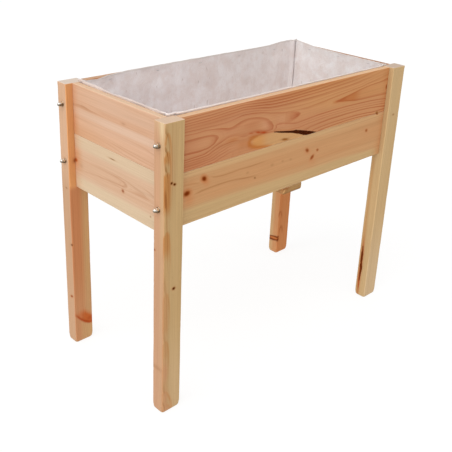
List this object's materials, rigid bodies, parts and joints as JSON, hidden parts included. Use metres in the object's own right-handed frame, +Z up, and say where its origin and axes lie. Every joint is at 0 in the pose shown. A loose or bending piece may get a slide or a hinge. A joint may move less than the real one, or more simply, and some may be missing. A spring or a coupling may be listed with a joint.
{
  "type": "raised planter on legs",
  "caption": "Long pine trough planter raised on square-cut legs, with board sides, a slatted floor, a felt liner and domed cap nuts on the end faces.",
  "frame": {"origin": "on the ground, under the middle of the planter", "axes": "+X along the length to the right as seen from the front, +Y to the back, +Z up; the front is -Y"},
  "size_m": [0.9832, 0.45, 0.808],
  "materials": {
    "leg_pine": "planed untreated pine, olive tan with brown grain",
    "heartwood_pine": "planed pine heartwood, reddish brown with dark growth rings, a bark pocket and knots",
    "side_pine": "planed pine, tan with red-brown knots",
    "end_pine": "planed pine sapwood, pale pinkish tan",
    "bearer_pine": "sawn and planed pine",
    "floor_pine": "sawn pine",
    "liner_felt": "needle-punched felt, off-white with grey and pink mottling",
    "staple_steel": "galvanised wire",
    "plated_steel": "bright plated steel",
    "zinc_steel": "zinc plated steel",
    "dowel_beech": "fluted beech dowel"
  },
  "bodies": {
    "root": {"leg_front_left": "leg_pine", "leg_front_right": "leg_pine", "leg_back_left": "leg_pine", "leg_back_right": "leg_pine", "front_board_upper": "heartwood_pine", "front_board_lower": "side_pine", "back_board_upper": "heartwood_pine", "back_board_lower": "side_pine", "left_end_board_upper": "end_pine", "left_end_board_lower": "end_pine", "right_end_board_upper": "end_pine", "right_end_board_lower": "end_pine", "center_bearer": "bearer_pine", "left_floor_cleat": "bearer_pine", "right_floor_cleat": "bearer_pine", "floor_slat_front": "floor_pine", "floor_slat_mid_front": "floor_pine", "floor_slat_mid_back": "floor_pine", "floor_slat_back": "floor_pine", "fabric_liner": "liner_felt", "liner_staples": "staple_steel", "hanger_bolts": "zinc_steel", "washers": "plated_steel", "cap_nuts": "plated_steel", "end_board_dowels": "dowel_beech", "bearer_screws": "zinc_steel", "cleat_screws": "zinc_steel", "slat_screws": "zinc_steel"}
  },
  "joints": []
}
